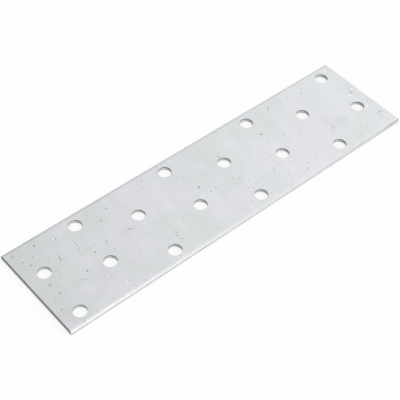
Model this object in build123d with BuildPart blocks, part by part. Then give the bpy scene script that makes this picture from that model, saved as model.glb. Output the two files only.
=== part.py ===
from build123d import *
import os

# Flat mending plate: a strip of galvanised sheet steel, slit to width, cropped to length and
# punched with two interleaved grids of nail holes. It lies flat with its underside at z = 0,
# its length along X and its width along Y, and the origin is under the middle of the plate.

# The sheet and its margins, in millimetres
thickness = 1.5
end_margin = 7.3  # centre of the outermost holes to the cropped end
edge_margin = 5.0  # centre of the outermost holes to the long edge

# The nail holes fill every other place of a grid, so that neighbours are staggered
hole_diameter = 5.0
pitch_along = 20.0  # one column of holes to the next
pitch_across = 10.0  # one row of holes to the next
column_pairs = 4
row_pairs = 2

# What the shears and the punch leave on the edges. It grows with the sheet, so each value is
# a share of the thickness. The rolled shoulders are on the face that the tools entered.
slit_roll_width = 0.8  # along the two long edges
slit_roll_depth = 0.28
crop_roll_width = 0.18  # across the two ends, which are cut tighter
crop_roll_depth = 0.1
rim_roll = 0.1  # around a hole
torn_height = 0.5  # the torn cone that opens a hole towards the underside
die_clearance = 0.05  # what that cone adds to the hole's radius

plate_length = (2 * column_pairs - 1) * pitch_along + 2 * end_margin
plate_width = (2 * row_pairs - 1) * pitch_across + 2 * edge_margin
hole_radius = hole_diameter / 2


def sheared_section(plane, span, roll_width, roll_depth):
    """The sheet's section between two sheared edges: flat below, rolled shoulders above."""
    edge = span / 2
    shoulder = edge - roll_width * thickness
    drop = thickness - roll_depth * thickness
    with BuildSketch(plane) as section:
        with BuildLine():
            Polyline((-edge, drop), (-edge, 0), (edge, 0), (edge, drop))
            EllipticalCenterArc((shoulder, drop), edge - shoulder, thickness - drop, 0, arc_size=90)
            Line((shoulder, thickness), (-shoulder, thickness))
            EllipticalCenterArc((-shoulder, drop), edge - shoulder, thickness - drop, 90, arc_size=90)
        make_face()
    return section.sketch


slit_plane = Plane.YZ.offset(-plate_length / 2)
slit_section = sheared_section(slit_plane, plate_width, slit_roll_width, slit_roll_depth)
crop_plane = Plane.XZ.offset(-plate_width / 2)
crop_section = sheared_section(crop_plane, plate_length, crop_roll_width, crop_roll_depth)

with BuildPart() as mending_plate:
    # The strip as it is slit from the coil, then cropped to length at both ends
    extrude(slit_section, amount=plate_length)
    extrude(crop_section, amount=plate_width, mode=Mode.INTERSECT)

    # Two grids of holes, one place apart, each hole torn open where its slug broke out
    with Locations((-pitch_along / 2, -pitch_across / 2), (pitch_along / 2, pitch_across / 2)):
        with GridLocations(2 * pitch_along, 2 * pitch_across, column_pairs, row_pairs):
            Hole(hole_radius)
            Cone(
                bottom_radius=hole_radius + die_clearance * thickness,
                top_radius=hole_radius,
                height=torn_height * thickness,
                align=(Align.CENTER, Align.CENTER, Align.MIN),
                mode=Mode.SUBTRACT,
            )
    punched_rims = mending_plate.edges().filter_by(GeomType.CIRCLE).group_by(Axis.Z)[-1]
    fillet(punched_rims, rim_roll * thickness)

mending_plate.part.label = "mending_plate"

os.makedirs("parts", exist_ok=True)
export_step(mending_plate.part, "parts/mending_plate.step")
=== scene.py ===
import math

import bpy
from mathutils import Matrix, Vector


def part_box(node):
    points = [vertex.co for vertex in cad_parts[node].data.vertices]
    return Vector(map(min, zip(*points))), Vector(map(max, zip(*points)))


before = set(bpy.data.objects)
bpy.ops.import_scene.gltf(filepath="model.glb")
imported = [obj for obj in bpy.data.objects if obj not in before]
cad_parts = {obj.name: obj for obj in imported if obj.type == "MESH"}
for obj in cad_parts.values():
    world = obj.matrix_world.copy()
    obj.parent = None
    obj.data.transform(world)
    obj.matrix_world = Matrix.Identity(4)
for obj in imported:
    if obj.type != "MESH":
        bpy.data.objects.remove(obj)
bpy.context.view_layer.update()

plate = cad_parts["mending_plate"]
plateLow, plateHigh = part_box("mending_plate")
millimetresPerMetre = 1000.0  # the patterns are laid out in millimetres
plateLength, plateWidth, plateThickness = (plateHigh - plateLow) * millimetresPerMetre
print(f"frame loaded, plate {plateLength:.1f} x {plateWidth:.1f} x {plateThickness:.1f} mm")

# A noise pattern lies around 0.5. It mostly stays in the first range and seldom leaves the second.
usualNoise = (0.3, 0.7)
wideNoise = (0.25, 0.75)
facingShare = 0.5  # a face looks along an axis when over this much of its normal lies along it


def toLinear(hexColour):
    # sRGB hex to the linear values that the shaders want
    values = []
    for start in (1, 3, 5):
        channel = int(hexColour[start:start + 2], 16) / 255
        values.append(channel / 12.92 if channel <= 0.04045 else ((channel + 0.055) / 1.055) ** 2.4)
    return (*values, 1.0)


def addNode(tree, kind, settings=None, values=None, links=None):
    # one node: its own settings, the numbers in its sockets, and what feeds them
    node = tree.nodes.new(kind)
    for name, value in (settings or {}).items():
        setattr(node, name, value)
    for socket, value in (values or {}).items():
        node.inputs[socket].default_value = value
    for socket, source in (links or {}).items():
        tree.links.new(source, node.inputs[socket])
    return node


def newMaterial(name):
    material = bpy.data.materials.new(name)
    material.use_nodes = True
    material.node_tree.nodes.clear()
    return material


# The flat faces: hot-dip zinc, skin-passed between rolls. Widths and lengths are in millimetres, and
# a depth is how far a pattern usually shifts the shade. Real grain is about 0.2 mm wide, too fine to
# show, so it is drawn coarser here.
zincLook = {
    "zinc": "#dddfe0",
    "greenCloud": "#d4dada",
    "lavenderCloud": "#dfdfe5",
    "cloudWidth": 15.0,
    "cloudWarp": 0.8,
    "cloudShare": 0.46,  # how much of the clouds' colour shows
    "cloudDrift": 9.0,  # how far the clouds push the green and the dull places about
    "greenPull": 0.22,
    "greenSoftness": 0.7,
    "tintRange": (0.32, 0.62),  # the cloud pattern's values for all green and all lavender
    "dullShade": 0.95,
    "dullSoftness": 0.8,
    "mottleWidth": 3.5,
    "mottleDepth": 0.012,
    "grainWidth": 0.9,
    "grainDepth": 0.005,
    "streakTurn": -8.0,  # degrees from straight across the plate
    "streakWidth": 3.5,
    "streakLength": 30.0,
    "streakDepth": 0.015,
    "roughness": 0.42,
    "roughnessSwing": 0.04,
}

# Places where the coat lies greener, and where it is a little dull. Like all the marks below,
# each is x, y, length, width, turn in degrees and strength.
greenPlaces = (
    (-69, 2, 15, 40, 0, 1), (-48, 13, 18, 9, 10, 1), (-15, -14, 15, 9, -35, 1), (-2, 4, 9, 7, 30, 1),
    (7, 14, 16, 7, -20, 1), (40, 14, 20, 8, 20, 1), (65, -14, 17, 10, 15, 1),
)
dullPlaces = (
    (-73, 14, 5, 9, 0, 1), (-74, -13, 6, 6, 0, 1), (-55, -8, 9, 7, 20, 1), (-36, 2, 5, 3, -20, 1),
    (56, -4, 7, 8, 0, 1), (74, 1, 3, 9, 0, 1), (-60, -13, 6, 3, 10, 1), (44, 0, 5, 3, 10, 1),
)

# Small dark pits where the coat is thin, fine ones that crowd in patches, and pale flecks. They are
# scattered by chance, and smallest and largest are radii. The finest real ones are under 0.1 mm
# across, too fine to show, so they are drawn coarser here.
pitLook = {
    "colour": "#7f8384",
    "pits": {"spacing": 4.2, "smallest": 0.16, "largest": 0.38},
    "strength": 0.56,
    "relief": 2.0,
    "addedRoughness": 0.12,
    "keptMidway": 0.19,  # the share of the places that have a pit or a fleck
    "keptAtEnds": 0.58,
    "midwayReach": 0.3,  # as a share of the plate's length, from its middle
    "finePits": {"spacing": 1.1, "smallest": 0.14, "largest": 0.32},
    "fineKept": 0.5,
    "fineStrength": 0.36,
    "crowdWidth": 9.0,
    "crowdRange": (0.52, 0.66),  # the crowd pattern's values for no fine pits and for all of them
    "flecks": {"spacing": 2.4, "smallest": 0.10, "largest": 0.33},
    "fleckColour": "#fafbfb",
    "fleckStrength": 0.42,
    "fleckSlide": (31.0, 17.0, 0.0),  # takes their net away from that of the pits
    "flatPart": 0.35,  # the share of each radius that is at full depth
}

# The plainest knocks and pits
knocks = (
    (-66, 16.5, 0.75, 0.6, 30, 0.85), (-71.7, 10.4, 0.8, 0.55, 70, 0.65), (-71, -5.1, 0.85, 0.55, -20, 0.6),
    (-71.6, -0.5, 1.25, 0.8, 15, 0.4), (-58.5, -3.4, 0.6, 0.72, 0, 0.8), (-51.7, 1.2, 0.85, 0.52, 25, 0.85),
    (-45.9, 2.7, 0.55, 0.5, 0, 0.95), (-58.7, 14.3, 0.6, 0.42, 40, 0.95), (-37.0, 14.5, 0.6, 0.52, 0, 0.75),
    (-41.7, 11.2, 1.25, 0.8, -15, 0.35), (-5.2, 1.6, 0.75, 0.65, 0, 1.0), (-3.1, -2.6, 0.5, 0.5, 0, 0.8),
    (30.4, 7.1, 0.72, 0.62, 0, 1.0), (33.8, -14.2, 0.58, 0.5, 35, 0.8), (54.2, -7.3, 0.6, 0.55, 0, 0.9),
    (53.3, -8.6, 0.58, 0.45, 30, 0.75), (73.5, 2.0, 1.6, 0.85, 80, 0.35), (-74.3, -10.9, 1.25, 0.7, 10, 0.4),
    (10.3, 8.7, 0.55, 0.5, 0, 0.85), (-72.9, 12.9, 0.6, 0.45, 30, 0.65), (-69.2, 12.8, 0.5, 0.45, 0, 0.65),
    (-19.3, 17.1, 0.5, 0.45, 0, 0.65), (31.7, -16.4, 0.5, 0.5, 0, 0.6), (60.9, -16.3, 0.5, 0.5, 0, 0.6),
    (-74.4, 17.2, 0.9, 0.45, 20, 0.5), (13.2, -16.7, 0.5, 0.45, 0, 0.55), (-25.3, -10.6, 0.7, 0.45, 10, 0.5),
    (37.2, 1.7, 0.8, 0.5, -15, 0.4), (75.1, -5.3, 0.8, 0.45, 40, 0.5), (4.9, -15.2, 0.5, 0.4, 0, 0.5),
)

# Pale rubs where something dragged over the coat
paleRubs = (
    (58.8, 14.5, 0.9, 0.6, 40, 0.9), (73.1, -7.2, 2.2, 0.7, 60, 0.5), (72.3, 10.6, 2.4, 0.6, 115, 0.5),
    (74.5, 17.6, 2.4, 0.5, -35, 0.5), (75.6, 15.0, 2.2, 0.5, -80, 0.5), (72.1, 1.1, 1.2, 0.6, 80, 0.5),
    (75.0, 3.0, 1.6, 0.8, 80, 0.4), (59.6, 8.5, 0.7, 0.5, 0, 0.7), (-7.5, -1.9, 0.5, 0.4, 0, 0.9),
    (-51.2, -15.6, 0.9, 0.6, 0, 0.6), (-72.2, 13.8, 0.9, 0.5, 20, 0.6), (-59.3, 14.7, 0.7, 0.5, 0, 0.6),
    (-54.7, -9.6, 0.8, 0.6, 30, 0.6), (-58.0, -9.8, 0.7, 0.5, 0, 0.5), (-54.2, 9.5, 0.7, 0.5, 60, 0.5),
)

# Fine dark scratches, drawn a little wider than real ones so that they show
scratches = (
    (-54.7, 8.2, 4.2, 0.24, 88, 0.5), (-55.2, 5.4, 1.3, 0.28, 60, 0.5), (-62.4, 6.8, 2.6, 0.45, 75, 0.5),
    (42.0, 15.6, 2.6, 0.3, 40, 0.5), (58.4, 14.2, 3.0, 0.28, 42, 0.5), (-36.0, 1.8, 2.6, 0.35, -25, 0.5),
    (-61.0, -6.0, 3.0, 0.22, -48, 0.5), (22.0, -9.0, 4.0, 0.2, 50, 0.5), (74.6, -12.4, 2.4, 0.4, 12, 0.5),
)

# How far the outlines of these marks wander, in millimetres, how many times in each millimetre, and
# how soft the rim of each kind is
markEdges = {"wander": 0.5, "wandersPerMillimetre": 2.2, "scratches": 0.6, "knocks": 0.35, "rubs": 0.5}


def ovalMarks(tree, place, marks, softness):
    # the strongest of the oval marks at each place, each fading over a soft rim
    total = None
    for x, y, length, width, turn, strength in marks:
        cosine = math.cos(math.radians(turn))
        sine = math.sin(math.radians(turn))
        local = addNode(tree, "ShaderNodeVectorMath", {"operation": "SUBTRACT"}, {1: (x, y, 0)}, {0: place})
        onLength = addNode(tree, "ShaderNodeVectorMath", {"operation": "DOT_PRODUCT"},
                           {1: (2 * cosine / length, 2 * sine / length, 0)}, {0: local.outputs[0]})
        onWidth = addNode(tree, "ShaderNodeVectorMath", {"operation": "DOT_PRODUCT"},
                          {1: (-2 * sine / width, 2 * cosine / width, 0)}, {0: local.outputs[0]})
        across = addNode(tree, "ShaderNodeCombineXYZ", links={
            "X": onLength.outputs["Value"], "Y": onWidth.outputs["Value"]})
        reach = addNode(tree, "ShaderNodeVectorMath", {"operation": "LENGTH"}, links={0: across.outputs[0]})
        mask = addNode(tree, "ShaderNodeMapRange", {"interpolation_type": "SMOOTHSTEP"}, {
            "From Min": 1 + softness, "From Max": 1 - softness, "To Max": strength},
            {"Value": reach.outputs["Value"]})
        if total is None:
            total = mask.outputs[0]
        else:
            total = addNode(tree, "ShaderNodeMath", {"operation": "MAXIMUM"},
                            links={0: total, 1: mask.outputs[0]}).outputs[0]
    return total


def scatteredPits(tree, place, pits, kept):
    # one pit in some cells of a random net, each with its own size. Kept is a number or a pattern.
    spacing = pits["spacing"]
    cells = addNode(tree, "ShaderNodeTexVoronoi", {"voronoi_dimensions": "2D"},
                    {"Scale": 1 / spacing}, {"Vector": place})
    chance = addNode(tree, "ShaderNodeSeparateColor", links={0: cells.outputs["Color"]})
    radius = addNode(tree, "ShaderNodeMapRange", values={
        "To Min": pits["smallest"] / spacing, "To Max": pits["largest"] / spacing},
        links={"Value": chance.outputs[1]})
    inner = addNode(tree, "ShaderNodeMath", {"operation": "MULTIPLY"}, {1: pitLook["flatPart"]},
                    {0: radius.outputs[0]})
    dot = addNode(tree, "ShaderNodeMapRange", {"interpolation_type": "SMOOTHSTEP"}, links={
        "Value": cells.outputs["Distance"], "From Min": radius.outputs[0], "From Max": inner.outputs[0]})
    present = addNode(tree, "ShaderNodeMath", {"operation": "LESS_THAN"}, links={0: chance.outputs[0]})
    if isinstance(kept, float):
        present.inputs[1].default_value = kept
    else:
        tree.links.new(kept, present.inputs[1])
    return addNode(tree, "ShaderNodeMath", {"operation": "MULTIPLY"},
                   links={0: dot.outputs[0], 1: present.outputs[0]}).outputs[0]


def cloudyZinc(tree, place):
    # the clean coat: soft green and lavender clouds, under streaks, a mottle and a fine grain
    cloud = addNode(tree, "ShaderNodeTexNoise", values={
        "Scale": 1 / zincLook["cloudWidth"], "Detail": 3.0, "Distortion": zincLook["cloudWarp"]},
        links={"Vector": place})
    drift = zincLook["cloudDrift"]
    drifting = addNode(tree, "ShaderNodeVectorMath", {"operation": "MULTIPLY_ADD"}, {1: (drift, drift, 0.0)},
                       {0: cloud.outputs["Color"], 2: place})
    drifted = addNode(tree, "ShaderNodeVectorMath", {"operation": "SUBTRACT"},
                      {1: (drift / 2, drift / 2, 0.0)}, {0: drifting.outputs[0]}).outputs[0]
    green = ovalMarks(tree, drifted, greenPlaces, zincLook["greenSoftness"])
    dull = ovalMarks(tree, drifted, dullPlaces, zincLook["dullSoftness"])
    lean = addNode(tree, "ShaderNodeMath", {"operation": "MULTIPLY_ADD"}, {1: -zincLook["greenPull"]},
                   {0: green, 2: cloud.outputs[0]})
    allGreen, allLavender = zincLook["tintRange"]
    tint = addNode(tree, "ShaderNodeMapRange", {"interpolation_type": "SMOOTHSTEP"},
                   {"From Min": allGreen, "From Max": allLavender}, {"Value": lean.outputs[0]})
    tinted = addNode(tree, "ShaderNodeMix", {"data_type": "RGBA"}, {
        6: toLinear(zincLook["greenCloud"]), 7: toLinear(zincLook["lavenderCloud"])}, {0: tint.outputs[0]})
    colour = addNode(tree, "ShaderNodeMix", {"data_type": "RGBA"}, {
        0: zincLook["cloudShare"], 6: toLinear(zincLook["zinc"])}, {7: tinted.outputs[2]})

    # the rolls left broad, faint streaks across the strip
    turned = addNode(tree, "ShaderNodeMapping", {"vector_type": "TEXTURE"}, {
        "Rotation": (0, 0, math.radians(zincLook["streakTurn"])),
        "Scale": (zincLook["streakWidth"], zincLook["streakLength"], 1.0)}, {"Vector": place})
    streaks = addNode(tree, "ShaderNodeTexNoise", values={"Scale": 1.0, "Detail": 2.0},
                      links={"Vector": turned.outputs[0]})
    mottle = addNode(tree, "ShaderNodeTexNoise", values={
        "Scale": 1 / zincLook["mottleWidth"], "Detail": 2.0}, links={"Vector": place})
    grain = addNode(tree, "ShaderNodeTexNoise", values={
        "Scale": 1 / zincLook["grainWidth"], "Detail": 2.0}, links={"Vector": place})
    shade = addNode(tree, "ShaderNodeMapRange", values={"To Min": 1.0, "To Max": zincLook["dullShade"]},
                    links={"Value": dull}).outputs[0]
    for pattern, name in ((streaks, "streakDepth"), (mottle, "mottleDepth"), (grain, "grainDepth")):
        depth = 2 * zincLook[name]  # at the ends of the wide range
        step = addNode(tree, "ShaderNodeMapRange", values={
            "From Min": wideNoise[0], "From Max": wideNoise[1], "To Min": 1 - depth, "To Max": 1 + depth},
            links={"Value": pattern.outputs[0]})
        shade = addNode(tree, "ShaderNodeMath", {"operation": "MULTIPLY"},
                        links={0: shade, 1: step.outputs[0]}).outputs[0]
    shaded = addNode(tree, "ShaderNodeVectorMath", {"operation": "SCALE"},
                     links={0: colour.outputs[2], "Scale": shade})
    return shaded.outputs[0], mottle.outputs[0], grain.outputs[0]


def darkMarks(tree, place, ragged, kept):
    # all the dark marks, and the larger pits once more by themselves for the relief
    pits = scatteredPits(tree, ragged, pitLook["pits"], kept)
    finePits = scatteredPits(tree, ragged, pitLook["finePits"], pitLook["fineKept"])
    crowd = addNode(tree, "ShaderNodeTexNoise", values={
        "Scale": 1 / pitLook["crowdWidth"], "Detail": 1.0}, links={"Vector": place})
    noFinePits, allFinePits = pitLook["crowdRange"]
    crowded = addNode(tree, "ShaderNodeMapRange", {"interpolation_type": "SMOOTHSTEP"}, {
        "From Min": noFinePits, "From Max": allFinePits, "To Max": pitLook["fineStrength"]},
        {"Value": crowd.outputs[0]})
    fine = addNode(tree, "ShaderNodeMath", {"operation": "MULTIPLY"},
                   links={0: finePits, 1: crowded.outputs[0]})
    pitted = addNode(tree, "ShaderNodeMath", {"operation": "MULTIPLY"}, {1: pitLook["strength"]}, {0: pits})
    marks = addNode(tree, "ShaderNodeMath", {"operation": "MAXIMUM"},
                    links={0: fine.outputs[0], 1: pitted.outputs[0]}).outputs[0]
    for ovals, name in ((scratches, "scratches"), (knocks, "knocks")):
        drawn = ovalMarks(tree, ragged, ovals, markEdges[name])
        marks = addNode(tree, "ShaderNodeMath", {"operation": "MAXIMUM"},
                        links={0: marks, 1: drawn}).outputs[0]
    return marks, pitted.outputs[0]


def paleMarks(tree, ragged, kept):
    # flecks and rubs, where the coat shines brighter
    elsewhere = addNode(tree, "ShaderNodeVectorMath", {"operation": "ADD"}, {1: pitLook["fleckSlide"]},
                        {0: ragged})
    flecks = scatteredPits(tree, elsewhere.outputs[0], pitLook["flecks"], kept)
    paleFlecks = addNode(tree, "ShaderNodeMath", {"operation": "MULTIPLY"}, {1: pitLook["fleckStrength"]},
                         {0: flecks})
    rubs = ovalMarks(tree, ragged, paleRubs, markEdges["rubs"])
    return addNode(tree, "ShaderNodeMath", {"operation": "MAXIMUM"},
                   links={0: paleFlecks.outputs[0], 1: rubs}).outputs[0]


def zincFace(tree, place):
    # Skin-passed zinc is a pale, cool, nearly even grey, with soft clouds, faint streaks and pits
    where = addNode(tree, "ShaderNodeSeparateXYZ", links={0: place})
    zinc, mottle, grain = cloudyZinc(tree, place)

    # the outlines of the marks wander a little
    wander = markEdges["wander"]
    wandering = addNode(tree, "ShaderNodeTexNoise", values={
        "Scale": markEdges["wandersPerMillimetre"], "Detail": 1.0}, links={"Vector": place})
    wandered = addNode(tree, "ShaderNodeVectorMath", {"operation": "MULTIPLY_ADD"},
                       {1: (wander, wander, 0.0)}, {0: wandering.outputs["Color"], 2: place})
    ragged = addNode(tree, "ShaderNodeVectorMath", {"operation": "SUBTRACT"},
                     {1: (wander / 2, wander / 2, 0.0)}, {0: wandered.outputs[0]}).outputs[0]

    # more of the pits and flecks lie near the ends
    fromMiddle = addNode(tree, "ShaderNodeMath", {"operation": "ABSOLUTE"}, links={0: where.outputs["X"]})
    kept = addNode(tree, "ShaderNodeMapRange", {"interpolation_type": "SMOOTHSTEP"}, {
        "From Min": pitLook["midwayReach"] * plateLength, "From Max": plateLength / 2,
        "To Min": pitLook["keptMidway"], "To Max": pitLook["keptAtEnds"]}, {"Value": fromMiddle.outputs[0]})
    marks, pitted = darkMarks(tree, place, ragged, kept.outputs[0])
    paleShare = paleMarks(tree, ragged, kept.outputs[0])
    flecked = addNode(tree, "ShaderNodeMix", {"data_type": "RGBA"}, {7: toLinear(pitLook["fleckColour"])},
                      {0: paleShare, 6: zinc})
    marked = addNode(tree, "ShaderNodeMix", {"data_type": "RGBA"}, {7: toLinear(pitLook["colour"])},
                     {0: marks, 6: flecked.outputs[2]})
    roughness = addNode(tree, "ShaderNodeMapRange", values={
        "From Min": usualNoise[0], "From Max": usualNoise[1],
        "To Min": zincLook["roughness"] - zincLook["roughnessSwing"],
        "To Max": zincLook["roughness"] + zincLook["roughnessSwing"]}, links={"Value": mottle})
    # a bump repeats all that feeds it, so only the grain and the scattered pits are in the relief
    pressed = addNode(tree, "ShaderNodeMath", {"operation": "MULTIPLY_ADD"}, {1: -pitLook["relief"]},
                      {0: pitted, 2: grain})
    duller = addNode(tree, "ShaderNodeMath", {"operation": "MULTIPLY_ADD"}, {1: pitLook["addedRoughness"]},
                     {0: marks, 2: roughness.outputs[0]})
    return marked.outputs[2], duller.outputs[0], pressed.outputs[0]


# Sheared and punched faces, both bare steel. Under a lip lies a rubbed band, and a torn one below. The
# dark lips of the holes and the dark tones of the ends are painted shade, the pale torn band of the ends
# is painted light against the floor's shadow, and the white lip and rubbed band of the long sides are
# burnished steel with a painted highlight. Heights are shares of the thickness, and widths are in
# millimetres. Real rubs and tears are under 0.1 mm wide, too fine to show, so they are drawn coarser here.
cutLook = {
    # painted shade on the lips of the holes and the ends, a painted highlight on the lips of the long sides
    "lip": {"punched": "#424446", "cropped": "#7a7c7e", "slit": "#eceeef"},
    "rubbed": {"punched": "#e2e4e5", "cropped": "#707274", "slit": "#f4f5f6"},
    "torn": {"punched": "#cdcfd0", "cropped": "#b0b2b4", "slit": "#c8cacc"},
    "cutMargin": 0.6,
    "lipHeight": 0.72,
    "lipBlend": 0.1,  # millimetres
    "tornHeight": 0.40,
    "tornBlend": 0.06,  # millimetres
    "waverHeight": 0.5,  # millimetres
    "waverWidth": 1.5,
    "rubWidth": 0.3,
    "rubsPerMillimetre": 0.15,  # along the stroke of the punch
    "rubShades": (0.9, 1.05),
    "rubbedRoughness": 0.34,
    "tearGrain": 0.25,
    "tearShades": (0.8, 1.2),
    "tornRoughness": 0.62,
    "shadedFacing": (-0.8, 0.6, 0.0),
    "shadeStart": -0.4,  # where the painted shade starts. It is full at 1, on a wall that faces straight that way
    "deepestWallShade": 0.45,
}


def nearEdge(tree, place, axis, span, margin):
    # 1 within a margin of the two ends or the two long edges
    where = addNode(tree, "ShaderNodeSeparateXYZ", links={0: place})
    distance = addNode(tree, "ShaderNodeMath", {"operation": "ABSOLUTE"}, links={0: where.outputs[axis]})
    return addNode(tree, "ShaderNodeMath", {"operation": "GREATER_THAN"}, {1: span / 2 - margin},
                   {0: distance.outputs[0]}).outputs[0]


def cutFace(tree, place, normal):
    # A shear or punch rubs the upper part of the cut smooth and tears the rest, which stays dull
    where = addNode(tree, "ShaderNodeSeparateXYZ", links={0: place})
    atEnd = nearEdge(tree, place, "X", plateLength, cutLook["cutMargin"])
    nearSide = nearEdge(tree, place, "Y", plateWidth, cutLook["cutMargin"])
    facing = addNode(tree, "ShaderNodeSeparateXYZ", links={0: normal})
    sideways = addNode(tree, "ShaderNodeMath", {"operation": "ABSOLUTE"}, links={0: facing.outputs["Y"]})
    facesSide = addNode(tree, "ShaderNodeMath", {"operation": "GREATER_THAN"}, {1: facingShare},
                        {0: sideways.outputs[0]})
    atSide = addNode(tree, "ShaderNodeMath", {"operation": "MULTIPLY"},
                     links={0: nearSide, 1: facesSide.outputs[0]}).outputs[0]
    steel = {}
    for band in ("lip", "rubbed", "torn"):
        tones = cutLook[band]
        cropped = addNode(tree, "ShaderNodeMix", {"data_type": "RGBA"}, {
            6: toLinear(tones["punched"]), 7: toLinear(tones["cropped"])}, {0: atEnd})
        steel[band] = addNode(tree, "ShaderNodeMix", {"data_type": "RGBA"}, {7: toLinear(tones["slit"])},
                              {0: atSide, 6: cropped.outputs[2]}).outputs[2]

    drawn = addNode(tree, "ShaderNodeVectorMath", {"operation": "MULTIPLY"}, {
        1: (1 / cutLook["rubWidth"], 1 / cutLook["rubWidth"], cutLook["rubsPerMillimetre"])}, {0: place})
    rubs = addNode(tree, "ShaderNodeTexNoise", values={"Scale": 1.0, "Detail": 2.0},
                   links={"Vector": drawn.outputs[0]})
    tears = addNode(tree, "ShaderNodeTexNoise", values={
        "Scale": 1 / cutLook["tearGrain"], "Detail": 2.0}, links={"Vector": place})
    wavering = addNode(tree, "ShaderNodeTexNoise", values={
        "Scale": 1 / cutLook["waverWidth"], "Detail": 2.0}, links={"Vector": place})
    line = addNode(tree, "ShaderNodeMath", {"operation": "MULTIPLY_ADD"}, {
        1: cutLook["waverHeight"], 2: cutLook["tornHeight"] * plateThickness - cutLook["waverHeight"] / 2},
        {0: wavering.outputs[0]})
    above = addNode(tree, "ShaderNodeMath", {"operation": "SUBTRACT"},
                    links={0: where.outputs["Z"], 1: line.outputs[0]})
    rubbed = addNode(tree, "ShaderNodeMapRange", {"interpolation_type": "SMOOTHSTEP"},
                     {"From Min": -cutLook["tornBlend"], "From Max": cutLook["tornBlend"]},
                     {"Value": above.outputs[0]})
    # painted shade: on one side of each hole the wall is darker; the ends and the long sides are left out
    towards = addNode(tree, "ShaderNodeVectorMath", {"operation": "DOT_PRODUCT"}, {1: cutLook["shadedFacing"]},
                      {0: normal})
    wallShade = addNode(tree, "ShaderNodeMapRange", values={
        "From Min": cutLook["shadeStart"], "From Max": 1.0, "To Min": 1.0, "To Max": cutLook["deepestWallShade"]},
        links={"Value": towards.outputs["Value"]})
    onEdge = addNode(tree, "ShaderNodeMath", {"operation": "MAXIMUM"}, links={0: atEnd, 1: atSide})
    holeWallShade = addNode(tree, "ShaderNodeMix", values={3: 1.0},
                      links={0: onEdge.outputs[0], 2: wallShade.outputs[0]})
    shades = []
    for pattern, name in ((tears, "tearShades"), (rubs, "rubShades")):
        darkest, palest = cutLook[name]
        shades.append(addNode(tree, "ShaderNodeMapRange", values={
            "From Min": usualNoise[0], "From Max": usualNoise[1], "To Min": darkest, "To Max": palest},
            links={"Value": pattern.outputs[0]}).outputs[0])
    shade = addNode(tree, "ShaderNodeMix", links={0: rubbed.outputs[0], 2: shades[0], 3: shades[1]})
    lower = addNode(tree, "ShaderNodeMix", {"data_type": "RGBA"},
                    links={0: rubbed.outputs[0], 6: steel["torn"], 7: steel["rubbed"]})
    lipLine = cutLook["lipHeight"] * plateThickness
    onLip = addNode(tree, "ShaderNodeMapRange", {"interpolation_type": "SMOOTHSTEP"}, {
        "From Min": lipLine - cutLook["lipBlend"], "From Max": lipLine + cutLook["lipBlend"]},
        {"Value": where.outputs["Z"]})
    # the lip band: painted shade on the holes and the ends, a painted highlight on the long sides
    band = addNode(tree, "ShaderNodeMix", {"data_type": "RGBA"},
                   links={0: onLip.outputs[0], 6: lower.outputs[2], 7: steel["lip"]})
    shaded = addNode(tree, "ShaderNodeMath", {"operation": "MULTIPLY"},
                     links={0: shade.outputs[0], 1: holeWallShade.outputs[0]})
    colour = addNode(tree, "ShaderNodeVectorMath", {"operation": "SCALE"},
                     links={0: band.outputs[2], "Scale": shaded.outputs[0]})
    roughness = addNode(tree, "ShaderNodeMix", values={
        2: cutLook["tornRoughness"], 3: cutLook["rubbedRoughness"]}, links={0: rubbed.outputs[0]})
    relief = addNode(tree, "ShaderNodeMix",
                     links={0: rubbed.outputs[0], 2: tears.outputs[0], 3: rubs.outputs[0]})
    return colour.outputs[0], roughness.outputs[0], relief.outputs[0]


# The whole sheet, in millimetres. Each long shoulder has a tone for the -X end, one for the +X end and
# one for its last corner there. These tones are painted highlight and painted shade. A slope is 0 for an
# upright face and 1 for a level one.
sheetLook = {
    "shoulderHighlightsAndShade": {"-Y": ("#fafaf6", "#cbcdcf", "#a6a8aa"), "+Y": ("#a2a4a6", "#eceef0", "#eceef0")},
    "shoulderMargin": 1.5,
    "shoulderSlopes": (0.985, 0.85),  # where the tone starts, and where it is full
    "cornerReach": (10.0, 6.0),  # the same, from the +X end
    "bareSlopes": (0.55, 0.2),  # the same, for the bare steel
    # a narrow band of painted shade on the shoulder of the -X end
    "endShadeWidth": 0.25,
    "endShadeBlend": 0.1,
    "undersideSlide": (-33.0, 9.0, 0.0),  # gives the underside other clouds and marks
    "relief": 0.5,
    "reliefHeight": 0.00002,  # metres
}


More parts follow.
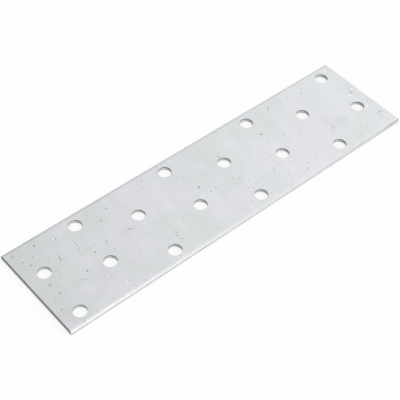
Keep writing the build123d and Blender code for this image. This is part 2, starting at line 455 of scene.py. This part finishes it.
def paintShoulderLight(tree, place, fromMiddle, facing, level, zincColour):
    # painted highlight and painted shade on the long shoulders, changing along the plate and in the last
    # corner
    toneFrom, toneFull = sheetLook["shoulderSlopes"]
    sloping = addNode(tree, "ShaderNodeMapRange", {"interpolation_type": "SMOOTHSTEP"},
                      {"From Min": toneFrom, "From Max": toneFull}, {"Value": level})
    along = addNode(tree, "ShaderNodeMapRange", values={
        "From Min": -plateLength / 2, "From Max": plateLength / 2}, links={"Value": fromMiddle})
    cornerFrom, cornerFull = sheetLook["cornerReach"]
    inCorner = addNode(tree, "ShaderNodeMapRange", values={
        "From Min": plateLength / 2 - cornerFrom, "From Max": plateLength / 2 - cornerFull},
        links={"Value": fromMiddle})
    tones = []
    for side in ("-Y", "+Y"):
        startTone, endTone, cornerTone = sheetLook["shoulderHighlightsAndShade"][side]
        drifting = addNode(tree, "ShaderNodeMix", {"data_type": "RGBA"}, {
            6: toLinear(startTone), 7: toLinear(endTone)}, {0: along.outputs[0]})
        tones.append(addNode(tree, "ShaderNodeMix", {"data_type": "RGBA"}, {7: toLinear(cornerTone)},
                             {0: inCorner.outputs[0], 6: drifting.outputs[2]}).outputs[2])
    onFarSide = addNode(tree, "ShaderNodeMath", {"operation": "GREATER_THAN"}, {1: 0.0},
                        {0: facing.outputs["Y"]})
    shoulder = addNode(tree, "ShaderNodeMix", {"data_type": "RGBA"},
                       links={0: onFarSide.outputs[0], 6: tones[0], 7: tones[1]})
    nearSide = nearEdge(tree, place, "Y", plateWidth, sheetLook["shoulderMargin"])
    onShoulder = addNode(tree, "ShaderNodeMath", {"operation": "MULTIPLY"},
                         links={0: sloping.outputs[0], 1: nearSide})
    return addNode(tree, "ShaderNodeMix", {"data_type": "RGBA"},
                   links={0: onShoulder.outputs[0], 6: zincColour, 7: shoulder.outputs[2]}).outputs[2]


def galvanisedSheet():
    # Hot-dip galvanised mild steel sheet, slit, cropped and punched. The coat gives a soft, cloudy
    # sheen. The cut faces are bare steel with painted shade and highlights, and the long shoulders carry a
    # painted highlight and painted shade.
    material = newMaterial("galvanisedSheet")
    tree = material.node_tree
    coordinates = addNode(tree, "ShaderNodeTexCoord")
    place = addNode(tree, "ShaderNodeVectorMath", {"operation": "SCALE"}, {"Scale": millimetresPerMetre},
                    {0: coordinates.outputs["Object"]}).outputs[0]
    facing = addNode(tree, "ShaderNodeSeparateXYZ", links={0: coordinates.outputs["Normal"]})
    level = addNode(tree, "ShaderNodeMath", {"operation": "ABSOLUTE"}, links={0: facing.outputs["Z"]})
    bareFrom, bareFull = sheetLook["bareSlopes"]
    upright = addNode(tree, "ShaderNodeMapRange", {"interpolation_type": "SMOOTHSTEP"},
                      {"From Min": bareFrom, "From Max": bareFull}, {"Value": level.outputs[0]})
    # painted shade: a narrow band on the shoulder of the -X end takes the cut faces' dark tones
    fromMiddle = addNode(tree, "ShaderNodeSeparateXYZ", links={0: place}).outputs["X"]
    endShadeLine = -plateLength / 2 + sheetLook["endShadeWidth"]
    endShade = addNode(tree, "ShaderNodeMapRange", {"interpolation_type": "SMOOTHSTEP"}, {
        "From Min": endShadeLine + sheetLook["endShadeBlend"],
        "From Max": endShadeLine - sheetLook["endShadeBlend"]}, {"Value": fromMiddle})
    isCut = addNode(tree, "ShaderNodeMath", {"operation": "MAXIMUM"},
                    links={0: upright.outputs[0], 1: endShade.outputs[0]}).outputs[0]
    # the underside has its own clouds and marks
    under = addNode(tree, "ShaderNodeMath", {"operation": "LESS_THAN"}, {1: -facingShare},
                    {0: facing.outputs["Z"]})
    slid = addNode(tree, "ShaderNodeVectorMath", {"operation": "SCALE"}, {0: sheetLook["undersideSlide"]},
                   {"Scale": under.outputs[0]})
    onFace = addNode(tree, "ShaderNodeVectorMath", {"operation": "ADD"}, links={0: place, 1: slid.outputs[0]})
    zincColour, zincRoughness, zincRelief = zincFace(tree, onFace.outputs[0])
    cutColour, cutRoughness, cutRelief = cutFace(tree, place, coordinates.outputs["Normal"])
    coatWithPaintedShoulders = paintShoulderLight(tree, place, fromMiddle, facing, level.outputs[0], zincColour)
    colour = addNode(tree, "ShaderNodeMix", {"data_type": "RGBA"},
                     links={0: isCut, 6: coatWithPaintedShoulders, 7: cutColour})
    roughness = addNode(tree, "ShaderNodeMix", links={0: isCut, 2: zincRoughness, 3: cutRoughness})
    relief = addNode(tree, "ShaderNodeMix", links={0: isCut, 2: zincRelief, 3: cutRelief})
    bump = addNode(tree, "ShaderNodeBump", values={
        "Strength": sheetLook["relief"], "Distance": sheetLook["reliefHeight"]},
        links={"Height": relief.outputs[0]})
    shader = addNode(tree, "ShaderNodeBsdfPrincipled", values={"Metallic": 1.0}, links={
        "Base Color": colour.outputs[2], "Roughness": roughness.outputs[0], "Normal": bump.outputs[0]})
    addNode(tree, "ShaderNodeOutputMaterial", links={"Surface": shader.outputs[0]})
    return material


plate.data.materials[0] = galvanisedSheet()
print("plate finished")

# The ground, in metres. Lift is how much of it is plain white to the camera and in reflections, and
# the rest takes the light and the shadows.
floorLook = {"width": 6.0, "paper": "#ffffff", "lift": 0.8}


def whitePaper():
    # Matt, uncoated white paper scatters light evenly, so it shows no shine and does not mirror the plate
    material = newMaterial("whitePaper")
    tree = material.node_tree
    path = addNode(tree, "ShaderNodeLightPath")
    seen = path.outputs["Is Camera Ray"]
    for ray in ("Is Glossy Ray", "Is Transmission Ray"):
        seen = addNode(tree, "ShaderNodeMath", {"operation": "ADD", "use_clamp": True},
                       links={0: seen, 1: path.outputs[ray]}).outputs[0]
    lift = addNode(tree, "ShaderNodeMath", {"operation": "MULTIPLY"}, {1: floorLook["lift"]}, {0: seen})
    paper = addNode(tree, "ShaderNodeBsdfDiffuse", values={"Color": toLinear(floorLook["paper"])})
    white = addNode(tree, "ShaderNodeEmission", values={"Strength": 1.0})
    mix = addNode(tree, "ShaderNodeMixShader", links={
        0: lift.outputs[0], 1: paper.outputs[0], 2: white.outputs[0]})
    addNode(tree, "ShaderNodeOutputMaterial", links={"Surface": mix.outputs[0]})
    return material


def makeFloor():
    bpy.ops.object.select_all(action="DESELECT")
    bpy.ops.mesh.primitive_plane_add(size=floorLook["width"], location=(0, 0, 0))
    floor = bpy.context.object
    floor.name = "floor"
    floor.data.materials.append(whitePaper())


makeFloor()
print("floor laid")

# The room: a dim base and broad, soft glows, each with its direction, reach in degrees and strength
room = {
    "tint": "#ffffff",
    "base": 0.58,
    "glows": (
        ((0.74, 0.18, 0.65), 56, 0.605),
        ((-0.05, -0.62, 0.78), 50, 0.48),
        ((-0.73, 0.56, 0.38), 50, 0.30),
        ((0.10, -0.97, 0.19), 34, 0.44),
    ),
}


def lightRoom():
    world = bpy.data.worlds.new("studioRoom")
    bpy.context.scene.world = world
    world.use_nodes = True
    tree = world.node_tree
    tree.nodes.clear()
    direction = addNode(tree, "ShaderNodeTexCoord").outputs["Generated"]
    strength = None
    for towards, reach, level in room["glows"]:
        along = addNode(tree, "ShaderNodeVectorMath", {"operation": "DOT_PRODUCT"},
                        {1: Vector(towards).normalized()}, {0: direction})
        glow = addNode(tree, "ShaderNodeMapRange", {"interpolation_type": "SMOOTHSTEP"},
                       {"From Min": math.cos(math.radians(reach)), "From Max": 1.0, "To Max": level},
                       {"Value": along.outputs["Value"]})
        # the first glow joins the base, and each later one the sum so far
        step = addNode(tree, "ShaderNodeMath", {"operation": "ADD"}, {0: room["base"]}, {1: glow.outputs[0]})
        if strength is not None:
            tree.links.new(strength, step.inputs[0])
        strength = step.outputs[0]
    sky = addNode(tree, "ShaderNodeBackground", values={"Color": toLinear(room["tint"])},
                  links={"Strength": strength})
    addNode(tree, "ShaderNodeOutputWorld", links={"Surface": sky.outputs[0]})


# A broad, weak lamp above the plate and a little in front of it. Metres and watts.
softbox = {"towards": (-0.10, -0.40, 0.91), "distance": 1.2, "size": 1.4, "watts": 1.0}


def hangSoftbox():
    data = bpy.data.lights.new("softbox", "AREA")
    data.shape = "SQUARE"
    data.size = softbox["size"]
    data.energy = softbox["watts"]
    lamp = bpy.data.objects.new("softbox", data)
    towards = Vector(softbox["towards"]).normalized()
    lamp.matrix_world = (Matrix.Translation(towards * softbox["distance"])
                         @ towards.to_track_quat("Z", "Y").to_matrix().to_4x4())
    bpy.context.scene.collection.objects.link(lamp)


lightRoom()
hangSoftbox()
print("lights hung")

# The camera stands over the near left corner and looks down along the plate. Metres, degrees and,
# for the lens, millimetres.
view = {
    "azimuth": -42.68,
    "elevation": 48.82,
    "roll": 2.77,
    "distance": 0.3814,
    "target": (-0.0079, -0.0023, 0.0),
    "lens": 96.3,
    "nearLimit": 0.01,
}


def makeCamera():
    azimuth, elevation, roll = (math.radians(view[name]) for name in ("azimuth", "elevation", "roll"))
    outwards = math.cos(elevation)
    back = Vector((math.sin(azimuth) * outwards, -math.cos(azimuth) * outwards, math.sin(elevation)))
    level = Vector((math.cos(azimuth), math.sin(azimuth), 0))
    upright = back.cross(level)
    right = level * math.cos(roll) + upright * math.sin(roll)
    up = upright * math.cos(roll) - level * math.sin(roll)
    data = bpy.data.cameras.new("camera")
    data.lens = view["lens"]
    data.clip_start = view["nearLimit"]
    camera = bpy.data.objects.new("camera", data)
    camera.matrix_world = (Matrix.Translation(Vector(view["target"]) + back * view["distance"])
                           @ Matrix((right, up, back)).transposed().to_4x4())
    bpy.context.scene.collection.objects.link(camera)
    bpy.context.scene.camera = camera


makeCamera()
print("camera placed")

bpy.context.scene.view_settings.view_transform = "Standard"
